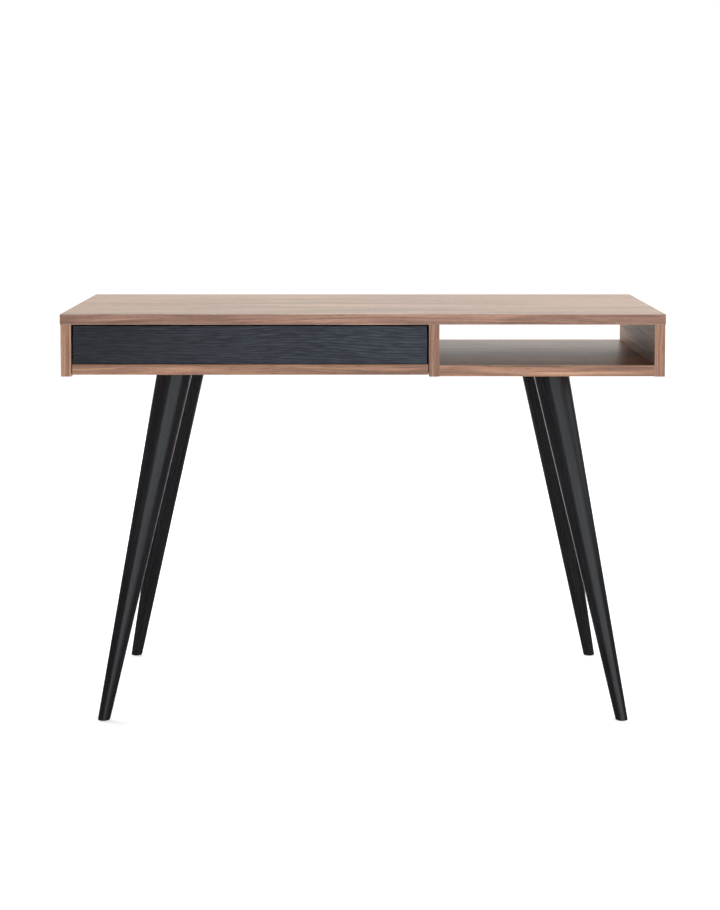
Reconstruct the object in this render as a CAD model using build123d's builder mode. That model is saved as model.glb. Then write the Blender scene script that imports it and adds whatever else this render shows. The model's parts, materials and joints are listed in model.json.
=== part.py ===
from build123d import *
import os

# Writing desk: a shallow walnut case on four splayed, turned legs, with one drawer at the left and one
# open shelf bay at the right.  Millimetres, +Z up.  The front faces -Y and +X is to the right of someone
# who stands in front of it.  The origin is on the floor, under the middle of the top board.

os.makedirs("parts", exist_ok=True)

# ---------------------------------------------------------------- driving dimensions

# Case
WIDTH = 1100.0              # top board along X
DEPTH = 550.0               # top board and case along Y
HEIGHT = 750.0              # floor to writing surface
CASE_HEIGHT = 113.9         # writing surface to the lower edges of the side panels
BOARD = 19.0                # thickness of the top board, side panels and divider
BASE_BOARD = 20.0           # thickness of the shelf and base boards, which carry the legs
BACK_PANEL = 12.0           # thickness of the drawer bay's back
TOP_OVERHANG = 1.2          # top board past the outer face of each side panel
DIVIDER_X = 129.7           # middle of the divider panel
BASE_RISE = 0.7             # undersides of the shelf and base boards above the panels' lower edges
BASE_SETBACK = 47.0         # front of the case to the front edge of the drawer bay's base board
ARRIS = 0.5                 # broken edges of the boards

# Legs: centre of each cone under the boards and at the floor, for the right-hand side
FRONT_LEG_TOP = (349.7, -175.0)
FRONT_LEG_FOOT = (477.0, -263.5)
REAR_LEG_TOP = (345.2, 178.0)
REAR_LEG_FOOT = (470.0, 263.0)
LEG_TOP_RADIUS = 32.7
LEG_FOOT_RADIUS = 11.1
LEG_SPARE = 12.0            # extra length at both ends of the cone before it is cut level
FOOT_CHAMFER = 0.8
GLIDE_RADIUS = 8.0
GLIDE_THICKNESS = 1.0
GLIDE_PIN_RADIUS = 1.25
GLIDE_PIN_LENGTH = 14.0
BOLT_RADIUS = 4.0           # M8 hanger bolt
BOLT_IN_LEG = 36.0
BOLT_IN_BOARD = 12.0
INSERT_RADIUS = 6.0
INSERT_LENGTH = 13.0
FIT = 0.05                  # radial play round bolts, inserts, balls and pins

# Dowels
DOWEL_RADIUS = 4.0
DOWEL_IN_EDGE = 20.0
DOWEL_IN_TOP = 10.0
DOWEL_IN_PANEL = 8.0
SMALL_DOWEL_RADIUS = 3.0
SMALL_DOWEL_HALF = 10.0
TOP_DOWEL_YS = (-220.0, -75.0, 75.0, 220.0)
SHELF_DOWEL_YS = (-245.0, -90.0, 60.0, 205.0)
BASE_DOWEL_YS = (-190.0, -40.0, 110.0, 245.0)
BACK_DOWEL_XS = (-480.0, -295.0, -110.0, 75.0)

# Drawer front and lip
FRONT_SETBACK = 2.5         # drawer front behind the lip
FRONT_THICKNESS = 18.0
FRONT_SIDE_GAP = 3.5
FRONT_TOP_GAP = 2.5
FRONT_GROOVE = 1.2          # chamfer that makes the shadow line over the lip
LIP_RISE = 3.5              # lip's underside above the panels' lower edges
LIP_HEIGHT = 19.0
LIP_END_GAP = 1.5
LIP_ARRIS = 0.9

# Drawer box
BOX_LENGTH = 430.0
BOX_HEIGHT = 58.0
BOX_LIFT = 2.0              # box above the top of the lip
BOX_WALL = 12.0
BOTTOM_PANEL = 6.0
BOTTOM_RISE = 8.0           # underside of the bottom panel above the sides' lower edges
GROOVE_DEPTH = 5.0
FINGER_COUNT = 5            # finger joints at the box's corners
DRAWER_TRAVEL = 400.0

# Runners: u runs from the bay wall towards the drawer box, v is height from the runner's middle
RUNNER_SPACE = 12.7
RUNNER_RISE = 32.5          # runner's middle above the top face of the base board
RUNNER_SETBACK = 23.0       # front end of the members behind the front of the case
RUNNER_LENGTH = 400.0
MIDDLE_MEMBER_LENGTH = 390.0
STEEL = 1.2
BALL_RADIUS = 1.75
BALLS_PER_ROW = 9
BALL_PITCH = 20.0
CAGE_STRIP = 0.4
CAGE_LENGTH = 184.0

# Screws
SCREW_RADIUS = 1.75
SCREW_HEAD_RADIUS = 3.4
RUNNER_SCREW_HEAD_RADIUS = 2.9
RUNNER_SCREW_LENGTH = 14.0
DRAWER_SCREW_LENGTH = 11.0
FRONT_SCREW_LENGTH = 25.0
LIP_SCREW_LENGTH = 34.0
RECESS_WIDTH = 0.9          # cross recess of the screw heads, as long as the head's radius
RECESS_DEPTH = 1.3
WALL_SCREW_YS = (35.0, 190.0, 365.0)       # from the runner's front end
DRAWER_SCREW_YS = (50.0, 205.0, 380.0)

# ---------------------------------------------------------------- planes and ranges worked out from them

FRONT = -DEPTH / 2
BACK = DEPTH / 2
CASE_BOTTOM = HEIGHT - CASE_HEIGHT
TOP_UNDERSIDE = HEIGHT - BOARD
BOARD_BOTTOM = CASE_BOTTOM + BASE_RISE
FLOOR_TOP = BOARD_BOTTOM + BASE_BOARD
BOARD_MIDDLE = BOARD_BOTTOM + BASE_BOARD / 2
PANEL_HEIGHT = TOP_UNDERSIDE - CASE_BOTTOM
CASE_OUTER = WIDTH / 2 - TOP_OVERHANG
CASE_INNER = CASE_OUTER - BOARD
BAY_LEFT = -CASE_INNER
BAY_RIGHT = DIVIDER_X - BOARD / 2
SHELF_LEFT = DIVIDER_X + BOARD / 2
PANEL_MIDDLES = (-CASE_OUTER + BOARD / 2, DIVIDER_X, CASE_OUTER - BOARD / 2)

LIP_BOTTOM = CASE_BOTTOM + LIP_RISE
LIP_TOP = LIP_BOTTOM + LIP_HEIGHT
FRONT_FACE = FRONT + FRONT_SETBACK
BOX_FRONT = FRONT_FACE + FRONT_THICKNESS
BOX_BACK = BOX_FRONT + BOX_LENGTH
BOX_LEFT = BAY_LEFT + RUNNER_SPACE
BOX_RIGHT = BAY_RIGHT - RUNNER_SPACE
BOX_WIDTH = BOX_RIGHT - BOX_LEFT
BOX_BOTTOM = LIP_TOP + BOX_LIFT
FINGER = BOX_HEIGHT / FINGER_COUNT
RUNNER_FRONT = FRONT + RUNNER_SETBACK
RUNNER_MIDDLE = FLOOR_TOP + RUNNER_RISE

CORNER = (Align.MIN, Align.MIN, Align.MIN)
ON_BASE = (Align.CENTER, Align.CENTER, Align.MIN)
UNDER_TOP = (Align.CENTER, Align.CENTER, Align.MAX)
UP = (0, 0, 1)
DOWN = (0, 0, -1)
LEFTWARD = (-1, 0, 0)
RIGHTWARD = (1, 0, 0)
BACKWARD = (0, 1, 0)


def facing(points, direction):
    """One plane at each point, its normal along direction.  A hole made there is drilled the other way."""
    return [Plane(origin=point, z_dir=direction) for point in points]


def save(piece, name):
    """Label a finished piece with its name and write its STEP file."""
    piece.part.label = name
    export_step(piece.part, f"parts/{name}.step")


# ---------------------------------------------------------------- dowel and leg positions

top_dowel_spots = [(x, y, TOP_UNDERSIDE) for x in PANEL_MIDDLES for y in TOP_DOWEL_YS]
base_left_spots = [(BAY_LEFT, y, BOARD_MIDDLE) for y in BASE_DOWEL_YS]
base_right_spots = [(BAY_RIGHT, y, BOARD_MIDDLE) for y in BASE_DOWEL_YS]
shelf_left_spots = [(SHELF_LEFT, y, BOARD_MIDDLE) for y in SHELF_DOWEL_YS]
shelf_right_spots = [(CASE_INNER, y, BOARD_MIDDLE) for y in SHELF_DOWEL_YS]
back_low_spots = [(x, BACK - BACK_PANEL / 2, FLOOR_TOP) for x in BACK_DOWEL_XS]
back_high_spots = [(x, BACK - BACK_PANEL / 2, TOP_UNDERSIDE) for x in BACK_DOWEL_XS]

leg_axes = {}
for side_name, side in (("left", -1), ("right", 1)):
    for row_name, top_xy, foot_xy in (
        ("front", FRONT_LEG_TOP, FRONT_LEG_FOOT),
        ("rear", REAR_LEG_TOP, REAR_LEG_FOOT),
    ):
        leg_top = Vector(side * top_xy[0], top_xy[1], BOARD_BOTTOM)
        leg_foot = Vector(side * foot_xy[0], foot_xy[1], 0)
        leg_axes[f"{row_name}_{side_name}_leg"] = (leg_foot, leg_top)

# ---------------------------------------------------------------- top board

with BuildPart() as top_board:
    with Locations((0, 0, TOP_UNDERSIDE)):
        Box(WIDTH, DEPTH, BOARD, align=ON_BASE)
    chamfer(top_board.edges(), ARRIS)
    with Locations(*facing(top_dowel_spots, DOWN)):
        Hole(DOWEL_RADIUS, DOWEL_IN_TOP)
    with Locations(*facing(back_high_spots, DOWN)):
        Hole(SMALL_DOWEL_RADIUS, SMALL_DOWEL_HALF)
save(top_board, "top_board")

# ---------------------------------------------------------------- side panels and divider

runner_wall_spots = [(RUNNER_FRONT + y, RUNNER_MIDDLE) for y in WALL_SCREW_YS]
wall_hole_depth = RUNNER_SCREW_LENGTH - STEEL

with BuildPart() as left_side_panel:
    with Locations((-CASE_OUTER, FRONT, CASE_BOTTOM)):
        Box(BOARD, DEPTH, PANEL_HEIGHT, align=CORNER)
    chamfer(left_side_panel.edges(), ARRIS)
    with Locations(*facing([spot for spot in top_dowel_spots if spot[0] == PANEL_MIDDLES[0]], UP)):
        Hole(DOWEL_RADIUS, DOWEL_IN_EDGE)
    with Locations(*facing(base_left_spots, RIGHTWARD)):
        Hole(DOWEL_RADIUS, DOWEL_IN_PANEL)
    with Locations(*facing([(BAY_LEFT, y, z) for y, z in runner_wall_spots], RIGHTWARD)):
        Hole(SCREW_RADIUS, wall_hole_depth)
save(left_side_panel, "left_side_panel")

with BuildPart() as right_side_panel:
    with Locations((CASE_INNER, FRONT, CASE_BOTTOM)):
        Box(BOARD, DEPTH, PANEL_HEIGHT, align=CORNER)
    chamfer(right_side_panel.edges(), ARRIS)
    with Locations(*facing([spot for spot in top_dowel_spots if spot[0] == PANEL_MIDDLES[2]], UP)):
        Hole(DOWEL_RADIUS, DOWEL_IN_EDGE)
    with Locations(*facing(shelf_right_spots, LEFTWARD)):
        Hole(DOWEL_RADIUS, DOWEL_IN_PANEL)
save(right_side_panel, "right_side_panel")

with BuildPart() as divider_panel:
    with Locations((BAY_RIGHT, FRONT, CASE_BOTTOM)):
        Box(BOARD, DEPTH, PANEL_HEIGHT, align=CORNER)
    chamfer(divider_panel.edges(), ARRIS)
    with Locations(*facing([spot for spot in top_dowel_spots if spot[0] == PANEL_MIDDLES[1]], UP)):
        Hole(DOWEL_RADIUS, DOWEL_IN_EDGE)
    with Locations(*facing(base_right_spots, LEFTWARD)):
        Hole(DOWEL_RADIUS, DOWEL_IN_PANEL)
    with Locations(*facing(shelf_left_spots, RIGHTWARD)):
        Hole(DOWEL_RADIUS, DOWEL_IN_PANEL)
    with Locations(*facing([(BAY_RIGHT, y, z) for y, z in runner_wall_spots], LEFTWARD)):
        Hole(SCREW_RADIUS, wall_hole_depth)
save(divider_panel, "divider_panel")

# ---------------------------------------------------------------- shelf board and base board

left_leg_tops = [axis[1] for name, axis in leg_axes.items() if name.endswith("left_leg")]
right_leg_tops = [axis[1] for name, axis in leg_axes.items() if name.endswith("right_leg")]

with BuildPart() as shelf_board:
    with Locations((SHELF_LEFT, FRONT, BOARD_BOTTOM)):
        Box(CASE_INNER - SHELF_LEFT, DEPTH, BASE_BOARD, align=CORNER)
    chamfer(shelf_board.edges(), ARRIS)
    with Locations(*facing(shelf_left_spots, LEFTWARD), *facing(shelf_right_spots, RIGHTWARD)):
        Hole(DOWEL_RADIUS, DOWEL_IN_EDGE)
    with Locations(*facing(right_leg_tops, DOWN)):
        Hole(INSERT_RADIUS, INSERT_LENGTH)
save(shelf_board, "shelf_board")

with BuildPart() as base_board:
    with Locations((BAY_LEFT, FRONT + BASE_SETBACK, BOARD_BOTTOM)):
        Box(BAY_RIGHT - BAY_LEFT, DEPTH - BASE_SETBACK, BASE_BOARD, align=CORNER)
    chamfer(base_board.edges(), ARRIS)
    with Locations(*facing(base_left_spots, LEFTWARD), *facing(base_right_spots, RIGHTWARD)):
        Hole(DOWEL_RADIUS, DOWEL_IN_EDGE)
    with Locations(*facing(left_leg_tops, DOWN)):
        Hole(INSERT_RADIUS, INSERT_LENGTH)
    with Locations(*facing(back_low_spots, UP)):
        Hole(SMALL_DOWEL_RADIUS, SMALL_DOWEL_HALF)
save(base_board, "base_board")

with BuildPart() as back_panel:
    with Locations((BAY_LEFT, BACK - BACK_PANEL, FLOOR_TOP)):
        Box(BAY_RIGHT - BAY_LEFT, BACK_PANEL, TOP_UNDERSIDE - FLOOR_TOP, align=CORNER)
    chamfer(back_panel.edges(), ARRIS)
    with Locations(*facing(back_low_spots, DOWN), *facing(back_high_spots, UP)):
        Hole(SMALL_DOWEL_RADIUS, SMALL_DOWEL_HALF)
save(back_panel, "back_panel")

# ---------------------------------------------------------------- dowels

with BuildPart() as top_dowels:
    with Locations(*[(x, y, z - DOWEL_IN_EDGE) for x, y, z in top_dowel_spots]):
        Cylinder(DOWEL_RADIUS, DOWEL_IN_EDGE + DOWEL_IN_TOP, align=ON_BASE)
save(top_dowels, "top_dowels")

# Each set is placed at the joint face, with its normal pointing out of the board into the panel.
shelf_dowel_planes = facing(shelf_left_spots, LEFTWARD) + facing(shelf_right_spots, RIGHTWARD)
base_dowel_planes = facing(base_left_spots, LEFTWARD) + facing(base_right_spots, RIGHTWARD)

with BuildPart() as shelf_dowels:
    with Locations(*[plane.offset(DOWEL_IN_PANEL) for plane in shelf_dowel_planes]):
        Cylinder(DOWEL_RADIUS, DOWEL_IN_PANEL + DOWEL_IN_EDGE, align=UNDER_TOP)
save(shelf_dowels, "shelf_dowels")

with BuildPart() as base_dowels:
    with Locations(*[plane.offset(DOWEL_IN_PANEL) for plane in base_dowel_planes]):
        Cylinder(DOWEL_RADIUS, DOWEL_IN_PANEL + DOWEL_IN_EDGE, align=UNDER_TOP)
save(base_dowels, "base_dowels")

with BuildPart() as back_panel_dowels:
    with Locations(*back_low_spots, *back_high_spots):
        Cylinder(SMALL_DOWEL_RADIUS, 2 * SMALL_DOWEL_HALF)
save(back_panel_dowels, "back_panel_dowels")

# ---------------------------------------------------------------- legs and what holds them


def glide_centre(foot, top):
    """Centre of the leg's end face, on the leg's axis at the thickness of the glide."""
    return foot + (top - foot) * (GLIDE_THICKNESS / (top.Z - foot.Z))


def make_leg(foot, top):
    """A turned cone along the line from foot to top, cut level at both ends and drilled for bolt and pin."""
    axis = top - foot
    direction = axis.normalized()
    spare_taper = (LEG_TOP_RADIUS - LEG_FOOT_RADIUS) / axis.length * LEG_SPARE
    with BuildPart() as leg:
        with Locations(Plane(origin=foot - direction * LEG_SPARE, z_dir=direction)):
            Cone(
                LEG_FOOT_RADIUS - spare_taper,
                LEG_TOP_RADIUS + spare_taper,
                axis.length + 2 * LEG_SPARE,
                align=ON_BASE,
            )
        split(bisect_by=Plane.XY.offset(BOARD_BOTTOM), keep=Keep.BOTTOM)
        split(bisect_by=Plane.XY.offset(GLIDE_THICKNESS), keep=Keep.TOP)
        chamfer(leg.edges().group_by(Axis.Z)[0], FOOT_CHAMFER)
        chamfer(leg.edges().group_by(Axis.Z)[-1], ARRIS)
        with Locations(Plane(origin=top, z_dir=UP)):
            Hole(BOLT_RADIUS + FIT, BOLT_IN_LEG)
        with Locations(Plane(origin=glide_centre(foot, top), z_dir=DOWN)):
            Hole(GLIDE_PIN_RADIUS, GLIDE_PIN_LENGTH - GLIDE_THICKNESS)
    return leg


for leg_name, (leg_foot, leg_top) in leg_axes.items():
    save(make_leg(leg_foot, leg_top), leg_name)

leg_tops = [axis[1] for axis in leg_axes.values()]
glide_spots = []
for leg_foot, leg_top in leg_axes.values():
    centre = glide_centre(leg_foot, leg_top)
    glide_spots.append((centre.X, centre.Y, 0))

with BuildPart() as foot_glides:
    with Locations(*glide_spots):
        Cylinder(GLIDE_RADIUS, GLIDE_THICKNESS, align=ON_BASE)
    chamfer(foot_glides.edges().group_by(Axis.Z)[0], GLIDE_THICKNESS / 4)
    with Locations(*glide_spots):
        Cylinder(GLIDE_PIN_RADIUS, GLIDE_PIN_LENGTH, align=ON_BASE)
save(foot_glides, "foot_glides")

with BuildPart() as leg_inserts:
    with Locations(*leg_tops):
        Cylinder(INSERT_RADIUS, INSERT_LENGTH, align=ON_BASE)
    with Locations(*facing(leg_tops, DOWN)):
        Hole(BOLT_RADIUS + FIT, INSERT_LENGTH)
save(leg_inserts, "leg_inserts")

with BuildPart() as hanger_bolts:
    with Locations(*[leg_top - Vector(0, 0, BOLT_IN_LEG) for leg_top in leg_tops]):
        Cylinder(BOLT_RADIUS, BOLT_IN_LEG + BOLT_IN_BOARD, align=ON_BASE)
    chamfer(hanger_bolts.edges().group_by(Axis.Z)[-1], BOLT_RADIUS / 4)
save(hanger_bolts, "hanger_bolts")

# ---------------------------------------------------------------- drawer front and lip

front_left = BAY_LEFT + FRONT_SIDE_GAP
front_width = BAY_RIGHT - BAY_LEFT - 2 * FRONT_SIDE_GAP
front_height = TOP_UNDERSIDE - FRONT_TOP_GAP - LIP_TOP
lip_left = BAY_LEFT + LIP_END_GAP
lip_width = BAY_RIGHT - BAY_LEFT - 2 * LIP_END_GAP
lip_depth = BOX_FRONT - FRONT

front_screw_spots = [
    (BOX_LEFT + BOX_WIDTH * share, BOX_FRONT + BOX_WALL, BOX_BOTTOM + BOX_HEIGHT * rise)
    for share in (0.15, 0.5, 0.85)
    for rise in (0.35, 0.75)
]
lip_screw_spots = [
    (lip_left + lip_width * share, FRONT_FACE + FRONT_THICKNESS / 2, LIP_BOTTOM)
    for share in (0.08, 0.36, 0.64, 0.92)
]

with BuildPart() as drawer_front:
    with Locations((front_left, FRONT_FACE, LIP_TOP)):
        Box(front_width, FRONT_THICKNESS, front_height, align=CORNER)
    front_bottom_edge = drawer_front.edges().filter_by(Axis.X).group_by(Axis.Z)[0].sort_by(Axis.Y)[0]
    chamfer(front_bottom_edge, FRONT_GROOVE)
    front_top_edges = drawer_front.edges().filter_by(Axis.X).group_by(Axis.Z)[-1]
    front_side_edges = drawer_front.edges().filter_by(Axis.Z)
    chamfer(front_top_edges + front_side_edges, ARRIS)
    with Locations(*[plane.offset(-BOX_WALL) for plane in facing(front_screw_spots, BACKWARD)]):
        Hole(SCREW_RADIUS, FRONT_SCREW_LENGTH - BOX_WALL)
    with Locations(*[plane.offset(-LIP_HEIGHT) for plane in facing(lip_screw_spots, DOWN)]):
        Hole(SCREW_RADIUS, LIP_SCREW_LENGTH - LIP_HEIGHT)
save(drawer_front, "drawer_front")

with BuildPart() as drawer_lip:
    with Locations((lip_left, FRONT, LIP_BOTTOM)):
        Box(lip_width, lip_depth, LIP_HEIGHT, align=CORNER)
    chamfer(drawer_lip.edges(), LIP_ARRIS)
    with Locations(*facing(lip_screw_spots, DOWN)):
        CounterSinkHole(SCREW_RADIUS, SCREW_HEAD_RADIUS, LIP_HEIGHT, 90)
save(drawer_lip, "drawer_lip")

# ---------------------------------------------------------------- drawer box, finger-jointed


def finger_spots(x_corners, y_corners, rows):
    """Lower left front corners of the fingers in the given rows at the box's vertical corners."""
    return [(x, y, BOX_BOTTOM + row * FINGER) for x in x_corners for y in y_corners for row in rows]


groove_corner = (
    BOX_LEFT + BOX_WALL - GROOVE_DEPTH,
    BOX_FRONT + BOX_WALL - GROOVE_DEPTH,
    BOX_BOTTOM + BOTTOM_RISE,
)
bottom_width = BOX_WIDTH - 2 * (BOX_WALL - GROOVE_DEPTH)
bottom_length = BOX_LENGTH - 2 * (BOX_WALL - GROOVE_DEPTH)
SIDE_ROWS = range(0, FINGER_COUNT, 2)
END_ROWS = range(1, FINGER_COUNT, 2)
drawer_screw_spots = [(RUNNER_FRONT + y, RUNNER_MIDDLE) for y in DRAWER_SCREW_YS]

with BuildPart() as drawer_bottom:
    with Locations(groove_corner):
        Box(bottom_width, bottom_length, BOTTOM_PANEL, align=CORNER)
save(drawer_bottom, "drawer_bottom")


def make_box_side(outer_x, inner_x, outward):
    """A drawer side from its outer to its inner face, with fingers, bottom groove and runner holes."""
    low_x = min(outer_x, inner_x)
    with BuildPart() as box_side:
        with Locations((low_x, BOX_FRONT, BOX_BOTTOM)):
            Box(BOX_WALL, BOX_LENGTH, BOX_HEIGHT, align=CORNER)
        chamfer(box_side.edges().filter_by(Axis.Y), ARRIS)
        with Locations(*finger_spots([low_x], [BOX_FRONT, BOX_BACK - BOX_WALL], END_ROWS)):
            Box(BOX_WALL, BOX_WALL, FINGER, align=CORNER, mode=Mode.SUBTRACT)
        with Locations(groove_corner):
            Box(bottom_width, bottom_length, BOTTOM_PANEL, align=CORNER, mode=Mode.SUBTRACT)
        with Locations(*facing([(outer_x, y, z) for y, z in drawer_screw_spots], outward)):
            Hole(SCREW_RADIUS, DRAWER_SCREW_LENGTH - STEEL)
    return box_side


def make_box_end(front_y):
    """The front or back wall of the drawer box, from side to side, with fingers and bottom groove."""
    with BuildPart() as box_end:
        with Locations((BOX_LEFT, front_y, BOX_BOTTOM)):
            Box(BOX_WIDTH, BOX_WALL, BOX_HEIGHT, align=CORNER)
        with Locations(*finger_spots([BOX_LEFT, BOX_RIGHT - BOX_WALL], [front_y], SIDE_ROWS)):
            Box(BOX_WALL, BOX_WALL, FINGER, align=CORNER, mode=Mode.SUBTRACT)
        with Locations(groove_corner):
            Box(bottom_width, bottom_length, BOTTOM_PANEL, align=CORNER, mode=Mode.SUBTRACT)
        if front_y == BOX_FRONT:
            with Locations(*facing(front_screw_spots, BACKWARD)):
                CounterSinkHole(SCREW_RADIUS, SCREW_HEAD_RADIUS, BOX_WALL, 90)
    return box_end


save(make_box_side(BOX_LEFT, BOX_LEFT + BOX_WALL, LEFTWARD), "drawer_left_side")
save(make_box_side(BOX_RIGHT, BOX_RIGHT - BOX_WALL, RIGHTWARD), "drawer_right_side")
save(make_box_end(BOX_FRONT), "drawer_box_front")
save(make_box_end(BOX_BACK - BOX_WALL), "drawer_box_back")

# ---------------------------------------------------------------- screws


def make_screws(planes, head_radius, length):
    """Cross-recessed countersunk screws, heads flush with the planes and shanks against the normals."""
    with BuildPart() as screws:
        with Locations(*planes):
            Cone(SCREW_RADIUS, head_radius, head_radius - SCREW_RADIUS, align=UNDER_TOP)
            Cylinder(SCREW_RADIUS, length, align=UNDER_TOP)
            Box(head_radius, RECESS_WIDTH, RECESS_DEPTH, align=UNDER_TOP, mode=Mode.SUBTRACT)
            Box(RECESS_WIDTH, head_radius, RECESS_DEPTH, align=UNDER_TOP, mode=Mode.SUBTRACT)
    return screws


save(make_screws(facing(front_screw_spots, BACKWARD), SCREW_HEAD_RADIUS, FRONT_SCREW_LENGTH), "front_screws")
save(make_screws(facing(lip_screw_spots, DOWN), SCREW_HEAD_RADIUS, LIP_SCREW_LENGTH), "lip_screws")

# ---------------------------------------------------------------- ball-bearing runners

# Channel sections, as corner points of the middle line of the steel strip, in u and v.
OUTER_CHANNEL = [(9.0, 20.6), (9.0, 21.9), (0.6, 21.9), (0.6, -21.9), (9.0, -21.9), (9.0, -20.6)]
MIDDLE_CHANNEL = [(10.5, 15.1), (10.5, 16.5), (3.0, 16.5), (3.0, -16.5), (10.5, -16.5), (10.5, -15.1)]
INNER_CHANNEL = [(5.6, 11.1), (12.1, 11.1), (12.1, -11.1), (5.6, -11.1)]
CHANNEL_BEND = 0.65
OUTER_CAGE = {"web": 1.8, "end": 8.0, "row": 19.2, "ball": 5.6}
INNER_CAGE = {"web": 4.2, "end": 9.4, "row": 13.8, "ball": 7.3}
CAGE_BEND = 0.3
OUTER_CAGE_FRONT = 102.0    # from the runner's front end, so that each cage stays between its two members
INNER_CAGE_FRONT = 106.0


def runner_plane(wall_x, inward, y):
    """Plane of a runner's cross section: local x is u, away from the wall, and local y is v, upwards."""
    return Plane(origin=(wall_x, y, RUNNER_MIDDLE), x_dir=(inward, 0, 0), z_dir=(0, -inward, 0))


def make_strip(plane, corners, thickness, bend, length):
    """A bent strip of the given middle line, running backwards from the plane."""
    with BuildPart() as strip:
        with BuildSketch(plane):
            with BuildLine():
                middle_line = FilletPolyline(*corners, radius=bend)
            trace(middle_line, thickness)
        extrude(amount=length if plane.z_dir.Y > 0 else -length)
    return strip


for side_name, wall_x, inward in (("left", BAY_LEFT, 1), ("right", BAY_RIGHT, -1)):
    section = runner_plane(wall_x, inward, RUNNER_FRONT)
    towards_drawer = (inward, 0, 0)
    towards_wall = (-inward, 0, 0)

    wall_spots = [(wall_x + inward * STEEL, y, z) for y, z in runner_wall_spots]
    drawer_side_spots = [
        (wall_x + inward * (RUNNER_SPACE - STEEL), y, z) for y, z in drawer_screw_spots
    ]

    outer_strip = make_strip(section, OUTER_CHANNEL, STEEL, CHANNEL_BEND, RUNNER_LENGTH)
    with BuildPart() as cabinet_member:
        add(outer_strip.part)
        with Locations(*facing(wall_spots, towards_drawer)):
            CounterSinkHole(SCREW_RADIUS, RUNNER_SCREW_HEAD_RADIUS, STEEL, 90)
    save(cabinet_member, f"{side_name}_cabinet_member")

    save(
        make_strip(section, MIDDLE_CHANNEL, STEEL, CHANNEL_BEND, MIDDLE_MEMBER_LENGTH),
        f"{side_name}_middle_member",
    )

    inner_strip = make_strip(section, INNER_CHANNEL, STEEL, CHANNEL_BEND, RUNNER_LENGTH)
    with BuildPart() as drawer_member:
        add(inner_strip.part)
        with Locations(*facing(drawer_side_spots, towards_wall)):
            CounterSinkHole(SCREW_RADIUS, RUNNER_SCREW_HEAD_RADIUS, STEEL, 90)
    save(drawer_member, f"{side_name}_drawer_member")

    save(
        make_screws(facing(wall_spots, towards_drawer), RUNNER_SCREW_HEAD_RADIUS, RUNNER_SCREW_LENGTH),
        f"{side_name}_cabinet_member_screws",
    )
    save(
        make_screws(facing(drawer_side_spots, towards_wall), RUNNER_SCREW_HEAD_RADIUS, DRAWER_SCREW_LENGTH),
        f"{side_name}_drawer_member_screws",
    )

    for cage_name, cage, cage_front in (
        ("outer", OUTER_CAGE, OUTER_CAGE_FRONT),
        ("inner", INNER_CAGE, INNER_CAGE_FRONT),
    ):
        first_ball = RUNNER_FRONT + cage_front + (CAGE_LENGTH - (BALLS_PER_ROW - 1) * BALL_PITCH) / 2
        ball_spots = [
            (wall_x + inward * cage["ball"], first_ball + index * BALL_PITCH, RUNNER_MIDDLE + row)
            for index in range(BALLS_PER_ROW)
            for row in (-cage["row"], cage["row"])
        ]
        cage_corners = [
            (cage["end"], cage["row"]),
            (cage["web"], cage["row"]),
            (cage["web"], -cage["row"]),
            (cage["end"], -cage["row"]),
        ]
        cage_plane = runner_plane(wall_x, inward, RUNNER_FRONT + cage_front)
        cage_strip = make_strip(cage_plane, cage_corners, CAGE_STRIP, CAGE_BEND, CAGE_LENGTH)
        with BuildPart() as ball_cage:
            add(cage_strip.part)
            with Locations(*ball_spots):
                Cylinder(BALL_RADIUS + FIT, 4 * CAGE_STRIP, mode=Mode.SUBTRACT)
        save(ball_cage, f"{side_name}_{cage_name}_ball_cage")

        with BuildPart() as balls:
            with Locations(*ball_spots):
                Sphere(BALL_RADIUS)
        save(balls, f"{side_name}_{cage_name}_balls")
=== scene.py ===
import json
import math

import bpy
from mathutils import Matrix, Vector


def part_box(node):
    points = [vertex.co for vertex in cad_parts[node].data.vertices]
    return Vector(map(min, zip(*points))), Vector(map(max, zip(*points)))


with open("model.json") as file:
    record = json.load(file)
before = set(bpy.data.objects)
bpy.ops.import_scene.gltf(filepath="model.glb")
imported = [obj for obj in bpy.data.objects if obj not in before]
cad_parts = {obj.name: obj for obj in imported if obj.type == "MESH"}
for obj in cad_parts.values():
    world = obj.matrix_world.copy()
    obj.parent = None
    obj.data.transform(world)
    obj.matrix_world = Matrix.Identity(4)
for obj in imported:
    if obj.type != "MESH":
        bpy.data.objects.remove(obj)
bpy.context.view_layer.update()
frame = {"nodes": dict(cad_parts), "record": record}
nodes = frame["nodes"]

# ------------------------------------------------- camera, in front of the desk and a little above it

PITCH = math.radians(4.0)           # looking slightly down
CAMERA_BACK = 4.290                 # in front of the desk's middle
CAMERA_HEIGHT = 1.0522
SENSOR = 36.0
LENS = 87.85
SHIFT = (-0.0031, -0.1676)          # lowers the view to the feet without tilting the camera further


def make_camera():
    data = bpy.data.cameras.new("camera")
    data.sensor_width = SENSOR
    data.lens = LENS
    data.shift_x, data.shift_y = SHIFT
    data.clip_start = 0.1
    data.clip_end = 100.0
    camera = bpy.data.objects.new("camera", data)
    bpy.context.scene.collection.objects.link(camera)
    camera.location = (0.0, -CAMERA_BACK, CAMERA_HEIGHT)
    camera.rotation_euler = (math.pi / 2 - PITCH, 0.0, 0.0)
    bpy.context.scene.camera = camera


make_camera()

# ------------------------------------------------- node trees


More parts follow.
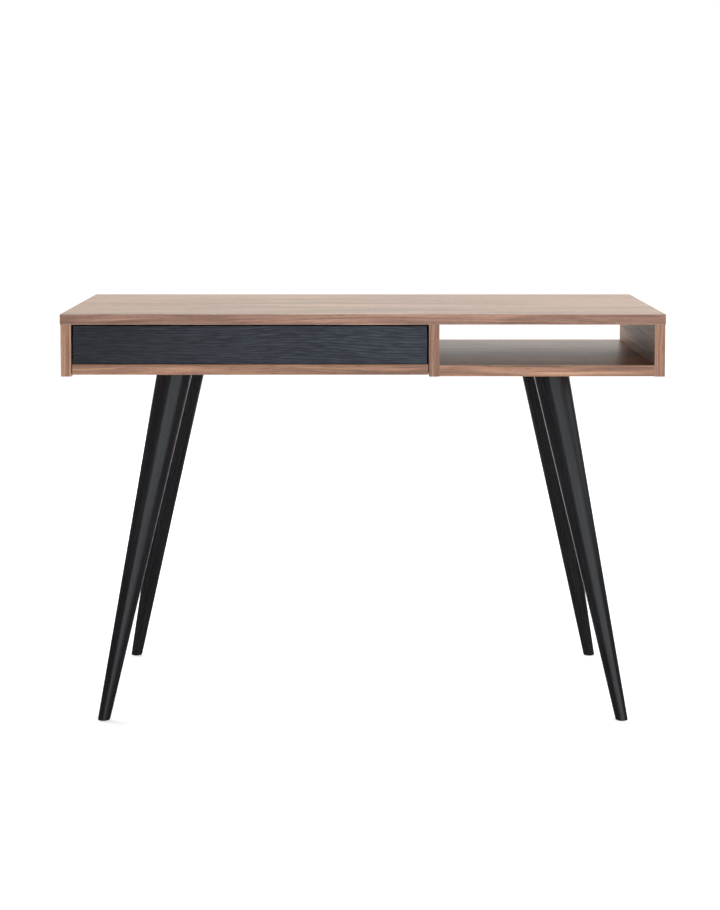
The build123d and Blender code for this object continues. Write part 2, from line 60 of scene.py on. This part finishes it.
class Tree:
    """A node tree under construction.  Most methods add nodes and return an output socket."""

    def __init__(self, owner):
        owner.use_nodes = True
        self.owner = owner
        self.tree = owner.node_tree

    def add(self, kind, inputs, **settings):
        node = self.tree.nodes.new(kind)
        for key, value in settings.items():
            setattr(node, key, value)
        for key, value in inputs.items():
            self.put(value, node.inputs[key])
        return node

    def put(self, value, socket):
        """Connect a socket, or set a plain number, vector or colour."""
        if isinstance(value, bpy.types.NodeSocket):
            self.tree.links.new(value, socket)
        elif isinstance(value, (tuple, list)) and len(value) == 3 and len(socket.default_value) == 4:
            socket.default_value = (*value, 1.0)
        else:
            socket.default_value = value

    def math(self, operation, a, b=0.0, c=0.0):
        return self.add("ShaderNodeMath", {0: a, 1: b, 2: c}, operation=operation).outputs[0]

    def vector(self, operation, a, b=(0.0, 0.0, 0.0), result="Vector"):
        node = self.add("ShaderNodeVectorMath", {0: a, 1: b}, operation=operation)
        return node.outputs[result]

    def combine(self, x, y, z):
        return self.add("ShaderNodeCombineXYZ", {0: x, 1: y, 2: z}).outputs[0]

    def split(self, vector):
        node = self.add("ShaderNodeSeparateXYZ", {0: vector})
        return node.outputs[0], node.outputs[1], node.outputs[2]

    def coordinates(self, kind="Object"):
        """Object coordinates, which are the row frame's in metres, or another kind."""
        return self.add("ShaderNodeTexCoord", {}).outputs[kind]

    def facing(self):
        """How far the surface looks along x, y and z, whichever way."""
        return self.split(self.vector("ABSOLUTE", self.coordinates("Normal")))

    def remap(self, value, low, high, to_low=0.0, to_high=1.0, curve="SMOOTHSTEP"):
        """Carry low to to_low and high to to_high, with no change beyond them."""
        node = self.add(
            "ShaderNodeMapRange",
            {0: value, 1: low, 2: high, 3: to_low, 4: to_high},
            interpolation_type=curve,
        )
        return node.outputs[0]

    def noise(self, vector, scale=1.0, detail=2.0, roughness=0.5):
        node = self.add(
            "ShaderNodeTexNoise",
            {"Vector": vector, "Scale": scale, "Detail": detail, "Roughness": roughness},
        )
        return node.outputs["Fac"]

    def streaks(self, vector, along, across, detail=2.0, roughness=0.5):
        """Noise drawn out along the grain: its scales per metre, along x and across it."""
        drawn_out = self.vector("MULTIPLY", vector, (along, across, across))
        return self.noise(drawn_out, detail=detail, roughness=roughness)

    def weigh(self, *terms):
        """The sum of value times weight over the terms."""
        total = None
        for value, weight in terms:
            term = value if weight == 1.0 else self.math("MULTIPLY", value, weight)
            total = term if total is None else self.math("ADD", total, term)
        return total

    def ramp(self, factor, stops):
        node = self.add("ShaderNodeValToRGB", {0: factor})
        elements = node.color_ramp.elements
        while len(elements) < len(stops):
            elements.new(0.5)
        for element, (position, colour) in zip(elements, stops):
            element.position = position
            element.color = (*colour, 1.0)
        return node.outputs[0]

    def blend(self, kind, factor, a, b):
        node = self.add(
            "ShaderNodeMix",
            {0: factor, 6: a, 7: b},
            data_type="RGBA",
            blend_type=kind,
            clamp_result=False,
        )
        return node.outputs[2]

    def darken(self, colour, value):
        """Multiply a colour by a value, which may also be over 1."""
        return self.blend("MULTIPLY", 1.0, colour, self.combine(value, value, value))

    def choose(self, factor, a, b):
        """Vector a where factor is 0 and b where it is 1."""
        node = self.add("ShaderNodeMix", {0: factor, 4: a, 5: b}, data_type="VECTOR")
        return node.outputs[1]

    def bump(self, height, strength, distance):
        inputs = {"Height": height, "Strength": strength, "Distance": distance}
        return self.add("ShaderNodeBump", inputs).outputs["Normal"]

    def surface(self, colour, roughness, normal, specular=0.5, metallic=0.0, more=None):
        """Set a material's shader and return the material.  more maps other inputs to values."""
        inputs = {
            "Base Color": colour,
            "Roughness": roughness,
            "Normal": normal,
            "Specular IOR Level": specular,
            "Metallic": metallic,
            **(more or {}),
        }
        shader = self.tree.nodes["Principled BSDF"]
        for name, value in inputs.items():
            self.put(value, shader.inputs[name])
        return self.owner


def new_material(name):
    return Tree(bpy.data.materials.new(name))


# ------------------------------------------------- coordinates that follow the grain

LOOKS_ALONG = 0.6                   # a face looks along an axis if its normal has more than this of it
SEED_STEP = (1.731, 0.417, 0.293)   # metres that one seed moves the grain on from the last


def seeded(t, vector, seed):
    return t.vector("ADD", vector, tuple(seed * step for step in SEED_STEP))


def board_grain(t, grain, seed):
    """Object coordinates turned so that x runs along the grain, y across it and z through the board.

    grain gives, for faces that look along x, y and z, the axis that their veneer's grain runs along.
    """
    axes = dict(zip("xyz", t.split(t.coordinates())))
    facing = dict(zip("xyz", t.facing()))
    turned = {}
    for face, along in zip("xyz", grain):
        across = next(axis for axis in "xyz" if axis not in (along, face))
        turned[face] = t.combine(axes[along], axes[across], axes[face])
    vector = t.choose(t.math("GREATER_THAN", facing["y"], LOOKS_ALONG), turned["z"], turned["y"])
    vector = t.choose(t.math("GREATER_THAN", facing["x"], LOOKS_ALONG), vector, turned["x"])
    return seeded(t, vector, seed)


def solid_grain(t, node, grain_axis, seed):
    """Object coordinates of solid timber, turned so that x runs along the grain."""
    low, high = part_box(node)
    centred = t.vector("SUBTRACT", t.coordinates(), tuple((low + high) / 2))
    turn = math.pi / 2 if grain_axis == "y" else 0.0
    mapping = t.add("ShaderNodeMapping", {"Vector": centred, "Rotation": (0.0, 0.0, turn)})
    return seeded(t, mapping.outputs[0], seed)


def on_face(t, node):
    """1 on a board's two large faces and 0 on its edges."""
    low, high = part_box(node)
    sides = list(high - low)
    return t.math("GREATER_THAN", t.facing()[sides.index(min(sides))], LOOKS_ALONG)


def edge_mask(t, node, width):
    """1 on the arrises of a board, falling to 0 at width from them."""
    low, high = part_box(node)
    centre = (low + high) / 2
    inner = (high - low) / 2 - Vector((width, width, width))
    offset = t.vector("ABSOLUTE", t.vector("SUBTRACT", t.coordinates(), tuple(centre)))
    x, y, z = t.split(t.vector("SUBTRACT", offset, tuple(inner)))
    larger = t.math("MAXIMUM", x, y)
    smaller = t.math("MINIMUM", x, y)
    second = t.math("MAXIMUM", smaller, t.math("MINIMUM", larger, z))
    return t.remap(second, 0.0, width)


# ------------------------------------------------- woods

WALNUT_DARK = (0.145, 0.074, 0.050)
WALNUT_BROWN = (0.235, 0.129, 0.088)
WALNUT_MID = (0.330, 0.190, 0.132)
WALNUT_LIGHT = (0.440, 0.272, 0.190)
WALNUT_MEAN = (0.315, 0.180, 0.125)
WALNUT_HONEY = (0.36, 0.22, 0.12)
# painted highlight colour for the arrises
WALNUT_ARRIS_HIGHLIGHT = (0.47, 0.33, 0.26)
LATE_WOOD_TINT = (0.60, 0.52, 0.49)
PORE_TINT = (0.45, 0.40, 0.38)
WALNUT_RINGS = 48.0                 # growth lines per metre across the board
RING_BEND = 11.0                    # how many lines the figure moves them by
GRAIN_WANDER = 0.036                # metres that the grain drifts sideways
BAND_SWING = 0.26                   # how much lighter and darker the wide bands are
ARRIS_WIDTH = 0.0014


def walnut(node, grain, seed, face_shading_tint, edge_shading_tint, contrast, roughness, specular):
    """Matt-lacquered walnut veneer: broad colour bands, growth lines, fibres and open pores."""
    t = new_material(f"walnut_{node}")
    grain_at = board_grain(t, grain, seed)
    wander = t.streaks(grain_at, along=2.4, across=5.0)
    shift = t.math("MULTIPLY", t.math("SUBTRACT", wander, 0.5), GRAIN_WANDER)
    along, across, through = t.split(grain_at)
    across = t.math("ADD", across, shift)
    warped = t.combine(along, across, through)

    # streaks from the width of a finger down to that of a hair
    broad = t.streaks(warped, along=2.6, across=150.0, detail=5.0, roughness=0.75)
    colour = t.ramp(
        broad,
        [(0.33, WALNUT_DARK), (0.44, WALNUT_BROWN), (0.53, WALNUT_MID), (0.66, WALNUT_LIGHT)],
    )
    lines = t.streaks(warped, along=4.0, across=420.0)
    colour = t.darken(colour, t.remap(lines, 0.32, 0.68, 0.72, 1.22))

    # growth lines: contours of a field that runs across the board and is bent by slow noise
    figure = t.streaks(warped, along=1.1, across=7.0, detail=1.0)
    ring = t.math("FRACT", t.weigh((across, WALNUT_RINGS), (figure, RING_BEND)))
    late_wood = t.math("MULTIPLY", t.remap(ring, 0.25, 0.92), t.remap(ring, 1.0, 0.95))
    colour = t.blend("MULTIPLY", t.math("MULTIPLY", late_wood, 0.5), colour, LATE_WOOD_TINT)

    # wide, soft bands that also change the hue a little; contrast under 1 fades all the above
    band = t.streaks(warped, along=0.9, across=11.0, roughness=0.6)
    swing = BAND_SWING * max(contrast, 1.0)
    colour = t.darken(colour, t.remap(band, 0.25, 0.75, 1.0 - swing, 1.0 + swing))
    hue = t.streaks(grain_at, along=1.6, across=6.0, detail=1.0)
    colour = t.blend("MIX", t.remap(hue, 0.35, 0.65, 0.0, 0.10), colour, WALNUT_HONEY)
    colour = t.blend("MIX", max(1.0 - contrast, 0.0), colour, WALNUT_MEAN)

    fibre = t.streaks(warped, along=9.0, across=620.0, detail=3.0, roughness=0.7)
    colour = t.darken(colour, t.remap(fibre, 0.25, 0.75, 0.86, 1.12))
    pores = t.remap(t.streaks(grain_at, along=55.0, across=1500.0, detail=1.0), 0.60, 0.70)
    colour = t.blend("MULTIPLY", t.math("MULTIPLY", pores, 0.8), colour, PORE_TINT)

    # painted highlight: the arrises are mixed towards a lighter colour, patchy with the fibres,
    # standing in for the light an arris catches
    arris_highlight = t.math("MULTIPLY", edge_mask(t, node, ARRIS_WIDTH), t.remap(fibre, 0.3, 0.6, 0.15, 0.45))
    colour = t.blend("MIX", arris_highlight, colour, WALNUT_ARRIS_HIGHLIGHT)
    # painted light and shade: each board's faces and its edges get their own tint, lighter, darker,
    # warmer or cooler, standing in for how light falls on them
    shading_tint = t.blend("MIX", on_face(t, node), edge_shading_tint, face_shading_tint)
    colour = t.blend("MULTIPLY", 1.0, colour, shading_tint)

    sheen = t.remap(fibre, 0.2, 0.8, roughness - 0.03, roughness + 0.05)
    height = t.math("SUBTRACT", t.math("MULTIPLY", fibre, 0.5), pores)
    height = t.weigh((height, 1.0), (lines, 1.2))
    return t.surface(
        colour,
        t.weigh((sheen, 1.0), (pores, 0.15)),
        t.bump(height, strength=0.15, distance=0.0005),
        specular,
    )


OAK_PORE = (0.011, 0.013, 0.020)
OAK_STAIN = (0.0245, 0.030, 0.041)
OAK_RIDGE = (0.042, 0.051, 0.066)
OAK_RINGS = 230.0                   # growth rings per metre
OAK_RING_BEND = 15.0                # how many rings the figure moves them by
OAK_RING_PITCH = 0.0043             # metres from one ring to the next
SHADE_LEFT = 0.60                   # painted shade: tone at the left end, where it is darkest
SHADE_REST = 1.08                   # and where the painted shade has faded out
SHADE_REACH = 0.55                  # over this share of the width


def black_oak(node, seed):
    """Black-stained, brushed oak: ridges of hard late wood, and painted shade that darkens it towards
    the left.
    """
    t = new_material(f"black_oak_{node}")
    grain_at = board_grain(t, "yxx", seed)
    along, across, through = t.split(grain_at)
    figure = t.streaks(grain_at, along=2.0, across=8.0, detail=1.5, roughness=0.4)
    field = t.weigh((across, OAK_RINGS), (figure, OAK_RING_BEND))
    bent = t.combine(along, t.math("MULTIPLY", field, OAK_RING_PITCH), through)
    ring = t.math("FRACT", field)
    ridge = t.math("MULTIPLY", t.remap(ring, 0.0, 0.6), t.remap(ring, 1.0, 0.85))
    breaks = t.streaks(bent, along=30.0, across=330.0)
    ridge = t.math("MULTIPLY", ridge, t.remap(breaks, 0.35, 0.62, 0.1, 1.0))
    coarse = t.streaks(bent, along=20.0, across=420.0, detail=3.0, roughness=0.70)
    fine = t.streaks(bent, along=40.0, across=1500.0, roughness=0.6)
    relief = t.weigh((ridge, 0.24), (coarse, 0.36), (fine, 0.40))
    colour = t.ramp(relief, [(0.30, OAK_PORE), (0.52, OAK_STAIN), (0.78, OAK_RIDGE)])
    cloud = t.streaks(grain_at, along=5.0, across=14.0)
    colour = t.darken(colour, t.remap(cloud, 0.3, 0.7, 0.92, 1.08))
    # painted shade: darker towards the left end, fading out over part of the width
    low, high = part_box(node)
    from_left = t.split(t.vector("SUBTRACT", t.coordinates(), tuple(low)))[0]
    reach = (high.x - low.x) * SHADE_REACH
    colour = t.darken(colour, t.remap(from_left, 0.0, reach, SHADE_LEFT, SHADE_REST))
    roughness = t.remap(relief, 0.3, 0.9, 0.60, 0.46)
    return t.surface(colour, roughness, t.bump(relief, strength=0.24, distance=0.0004), specular=0.33)


LEG_PORE = (0.007, 0.006, 0.007)
LEG_STAIN = (0.013, 0.012, 0.014)
LEG_RIDGE = (0.021, 0.021, 0.025)
LEG_SHEEN = (0.86, 0.97, 1.00)
LEG_TOP_RADIUS = 0.0327
LEG_FOOT_RADIUS = 0.0111


def leg_axis(low, high, foot_is_low):
    """Where the leg's axis is at its foot and at its top, along one direction."""
    if foot_is_low:
        return low + LEG_FOOT_RADIUS, high - LEG_TOP_RADIUS
    return high - LEG_FOOT_RADIUS, low + LEG_TOP_RADIUS


def leg_lines(t, node):
    """Coordinates in a splayed leg: height along it, then the offset from its axis."""
    low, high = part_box(node)
    height = high.z - low.z
    foot_x, top_x = leg_axis(low.x, high.x, "left" in node)
    foot_y, top_y = leg_axis(low.y, high.y, "front" in node)
    x, y, z = t.split(t.coordinates())
    off_x = t.math("SUBTRACT", x, t.math("MULTIPLY_ADD", z, (top_x - foot_x) / height, foot_x))
    off_y = t.math("SUBTRACT", y, t.math("MULTIPLY_ADD", z, (top_y - foot_y) / height, foot_y))
    return t.combine(z, off_x, off_y)


def black_leg(node, seed):
    """Black-stained turned wood, satin, with its grain along the leg."""
    t = new_material(f"black_leg_{node}")
    grain_at = seeded(t, leg_lines(t, node), seed)
    coarse = t.streaks(grain_at, along=4.0, across=150.0, detail=4.0, roughness=0.6)
    fine = t.streaks(grain_at, along=30.0, across=1000.0, roughness=0.6)
    relief = t.weigh((coarse, 0.6), (fine, 0.4))
    colour = t.ramp(relief, [(0.35, LEG_PORE), (0.55, LEG_STAIN), (0.75, LEG_RIDGE)])
    return t.surface(
        colour,
        t.remap(relief, 0.3, 0.8, 0.27, 0.19),
        t.bump(relief, strength=0.25, distance=0.0004),
        specular=0.45,
        more={"Specular Tint": LEG_SHEEN},
    )


BIRCH_LOW = (0.50, 0.36, 0.22)
BIRCH_HIGH = (0.66, 0.52, 0.35)


def birch(node, grain_axis, seed):
    """Lacquered solid birch, plain and pale, with faint rings and fine flecks."""
    t = new_material(f"birch_{node}")
    grain_at = solid_grain(t, node, grain_axis, seed)
    bands = t.streaks(grain_at, along=2.0, across=60.0, detail=3.0)
    flecks = t.streaks(grain_at, along=60.0, across=700.0)
    colour = t.ramp(bands, [(0.30, BIRCH_LOW), (0.70, BIRCH_HIGH)])
    colour = t.darken(colour, t.remap(flecks, 0.3, 0.7, 0.90, 1.06))
    roughness = t.remap(flecks, 0.3, 0.7, 0.42, 0.52)
    return t.surface(colour, roughness, t.bump(flecks, strength=0.1, distance=0.0003))


BEECH_LOW = (0.42, 0.25, 0.13)
BEECH_HIGH = (0.55, 0.36, 0.21)


def beech():
    """Plain beech dowel stock."""
    t = new_material("beech_dowels")
    stock_at = t.vector("ADD", t.coordinates(), (2.0, 2.0, 2.0))
    flecks = t.noise(stock_at, scale=400.0, detail=3.0)
    colour = t.ramp(flecks, [(0.3, BEECH_LOW), (0.7, BEECH_HIGH)])
    roughness = t.remap(flecks, 0.3, 0.7, 0.55, 0.7)
    return t.surface(colour, roughness, t.bump(flecks, strength=0.15, distance=0.0003))


# ------------------------------------------------- metals and plastic

ROLLED_STRIP = (700.0, 12.0, 700.0)     # rolling marks along y, where the runners' strip runs
ROLLED_CAGE = (700.0, 20.0, 700.0)
POLISHED = (90.0, 90.0, 90.0)


def steel(name, colour, roughness, marks):
    """Zinc-plated or polished steel, with rolling marks along the strip and faint clouding."""
    t = new_material(name)
    rolled = t.noise(t.vector("MULTIPLY", t.coordinates(), marks), detail=3.0)
    cloud = t.noise(t.coordinates(), scale=22.0, detail=3.0)
    tone = t.ramp(cloud, [(0.3, tuple(c * 0.86 for c in colour)), (0.7, colour)])
    tone = t.darken(tone, t.remap(rolled, 0.3, 0.7, 0.92, 1.04))
    rough = t.remap(rolled, 0.3, 0.7, roughness * 0.8, roughness * 1.25)
    return t.surface(tone, rough, t.bump(rolled, strength=0.08, distance=0.0002), metallic=1.0)


NYLON_LOW = (0.012, 0.012, 0.013)
NYLON_HIGH = (0.022, 0.022, 0.024)


def nylon(name):
    """Black moulded nylon."""
    t = new_material(name)
    grain = t.noise(t.coordinates(), scale=1800.0)
    colour = t.ramp(grain, [(0.3, NYLON_LOW), (0.7, NYLON_HIGH)])
    roughness = t.remap(grain, 0.3, 0.7, 0.5, 0.65)
    return t.surface(colour, roughness, t.bump(grain, strength=0.2, distance=0.0002))


# ------------------------------------------------- which node wears what


def wear(node, material):
    """Give a CAD node its material."""
    slots = nodes[node].data.materials
    for index in range(len(slots)):
        slots[index] = material


def board(node, grain, seed, face_shading_tint, edge_shading_tint, contrast=1.0, roughness=0.40, specular=0.5):
    """Veneer a board; see board_grain for grain."""
    wear(node, walnut(node, grain, seed, face_shading_tint, edge_shading_tint, contrast, roughness, specular))


# face and edge tints below are painted light and shade, set for each board and for its faces apart from
# its edges
board("top_board", "yxx", 13, (1.00, 1.09, 1.06), (1.10, 1.01, 1.00), contrast=1.4, roughness=0.38)
board("left_side_panel", "yzy", 2, (0.95, 0.95, 0.95), (1.26, 1.12, 1.02), contrast=0.8, roughness=0.36)
board(
    "right_side_panel", "yzy", 3, (0.65, 0.63, 0.63), (1.02, 1.02, 1.04),
    contrast=0.8, roughness=0.42, specular=0.11,
)
board("divider_panel", "yzy", 4, (0.80, 0.80, 0.80), (0.68, 0.57, 0.50), contrast=0.8, roughness=0.34)
board("shelf_board", "yxx", 5, (1.06, 0.82, 0.58), (1.01, 0.91, 0.80), roughness=0.355)
board("base_board", "yxx", 6, (0.90, 0.90, 0.90), (1.00, 1.00, 1.00))
board("back_panel", "yxx", 7, (0.90, 0.90, 0.90), (1.00, 1.00, 1.00))
board("drawer_lip", "yxx", 8, (0.93, 0.82, 0.71), (0.93, 0.82, 0.71), contrast=0.75)

wear("drawer_front", black_oak("drawer_front", 3))
LEGS = ("front_left_leg", "front_right_leg", "rear_left_leg", "rear_right_leg")
for seed, leg in enumerate(LEGS, start=1):
    wear(leg, black_leg(leg, seed))

BOX_GRAIN = {
    "drawer_left_side": "y",
    "drawer_right_side": "y",
    "drawer_box_front": "x",
    "drawer_box_back": "x",
    "drawer_bottom": "x",
}
for seed, (wall, grain_axis) in enumerate(BOX_GRAIN.items(), start=1):
    wear(wall, birch(wall, grain_axis, seed))

dowel_stock = beech()
for dowels in ("top_dowels", "shelf_dowels", "base_dowels", "back_panel_dowels"):
    wear(dowels, dowel_stock)

FITTINGS = {
    "zinc_plated_steel": steel("zinc_plated_steel", (0.66, 0.68, 0.70), 0.34, ROLLED_STRIP),
    "black_zinc_steel": steel("black_zinc_steel", (0.060, 0.062, 0.068), 0.38, ROLLED_STRIP),
    "cage_steel": steel("cage_steel", (0.48, 0.49, 0.50), 0.42, ROLLED_CAGE),
    "bearing_steel": steel("bearing_steel", (0.78, 0.79, 0.80), 0.12, POLISHED),
    "black_nylon": nylon("black_nylon"),
}
for member in frame["record"]["subparts"]:
    if member["material_slot"] in FITTINGS:
        wear(member["node"], FITTINGS[member["material_slot"]])

# ------------------------------------------------- floor, world and lights

STUDIO_DARK = 0.07                  # strength of the world's light away from the backdrop
STUDIO_BACKDROP = 1.40              # in the middle of the backdrop
SEEN_BACKDROP = 1.05                # everywhere, for what the camera sees directly
REFLECTED_COLOUR = (1.0, 0.97, 0.93)    # of the whole world, in glossy reflections
BACKDROP_TURN = math.radians(6.0)   # its middle, right of straight behind the desk
BACKDROP_EDGE = (0.75, 0.97)        # cosines from its middle, where it starts and where it is full
BACKDROP_FOOT = (-0.50, -0.25)      # the same, by how far the direction points down
FLOOR_HALF = 30.0
FLOOR_NEAR = 0.9                    # out to here the floor gives only a little light of its own
FLOOR_FAR = 2.5                     # from here on it gives its full light
FLOOR_GLOW = (0.46, 1.0)            # how much, near and far
FLOOR_GREYS = ((0.86, 0.86, 0.86), (0.88, 0.88, 0.88))
WHITE = (1.0, 1.0, 1.0)


def make_floor():
    mesh = bpy.data.meshes.new("floor")
    h = FLOOR_HALF
    mesh.from_pydata([(-h, -h, 0), (h, -h, 0), (h, h, 0), (-h, h, 0)], [], [(0, 1, 2, 3)])
    floor = bpy.data.objects.new("floor", mesh)
    bpy.context.scene.collection.objects.link(floor)
    t = new_material("floor")
    mottle = t.noise(t.coordinates(), scale=3.0)
    distance = t.vector("LENGTH", t.coordinates(), result="Value")
    glow = t.remap(distance, FLOOR_NEAR, FLOOR_FAR, *FLOOR_GLOW)
    material = t.surface(
        t.ramp(mottle, list(zip((0.3, 0.7), FLOOR_GREYS))),
        0.9,
        t.bump(mottle, strength=0.01, distance=0.0005),
        specular=0.0,
        more={"Emission Color": WHITE, "Emission Strength": glow},
    )
    mesh.materials.append(material)
    floor.visible_glossy = False


def make_world():
    """A studio with a bright backdrop behind the desk, and dark elsewhere."""
    world = bpy.data.worlds.new("studio")
    bpy.context.scene.world = world
    t = Tree(world)
    direction = t.coordinates("Generated")
    middle = (math.sin(BACKDROP_TURN), math.cos(BACKDROP_TURN), 0.0)
    towards = t.vector("DOT_PRODUCT", direction, middle, result="Value")
    backdrop = t.math(
        "MULTIPLY", t.remap(towards, *BACKDROP_EDGE), t.remap(t.split(direction)[2], *BACKDROP_FOOT)
    )
    studio = t.remap(backdrop, 0.0, 1.0, STUDIO_DARK, STUDIO_BACKDROP, curve="LINEAR")
    path = t.add("ShaderNodeLightPath", {}).outputs
    strength = t.add("ShaderNodeMix", {0: path["Is Camera Ray"], 2: studio, 3: SEEN_BACKDROP})
    background = t.tree.nodes["Background"]
    t.put(strength.outputs[0], background.inputs["Strength"])
    colour = t.blend("MIX", path["Is Glossy Ray"], WHITE, REFLECTED_COLOUR)
    t.put(colour, background.inputs["Color"])


def softbox(name, place, target, size, watts, glossy=True):
    data = bpy.data.lights.new(name, "AREA")
    data.shape = "RECTANGLE"
    data.size, data.size_y = size
    data.energy = watts
    light = bpy.data.objects.new(name, data)
    bpy.context.scene.collection.objects.link(light)
    light.location = place
    light.rotation_euler = (Vector(target) - Vector(place)).to_track_quat("-Z", "Y").to_euler()
    light.visible_camera = False
    light.visible_glossy = glossy


make_floor()
make_world()
softbox("key", (1.5, -4.2, 0.40), target=(0.0, 0.0, 0.3), size=(7.0, 1.9), watts=58.0)
softbox("fill", (0.4, -4.0, 1.6), target=(0.0, 0.0, 0.6), size=(4.0, 2.5), watts=82.0, glossy=False)
softbox("side", (2.2, -0.40, 1.25), target=(0.4, -0.40, 1.0), size=(1.7, 1.4), watts=5.0)
softbox("rear", (-2.5, 2.3, 1.3), target=(0.2, 0.0, 0.7), size=(3.2, 2.0), watts=145.0, glossy=False)
softbox("top", (0.7, 0.5, 3.2), target=(0.0, 0.0, 0.6), size=(3.0, 2.0), watts=88.0)

scene = bpy.context.scene
scene.view_settings.view_transform = "Standard"
scene.view_settings.look = "None"
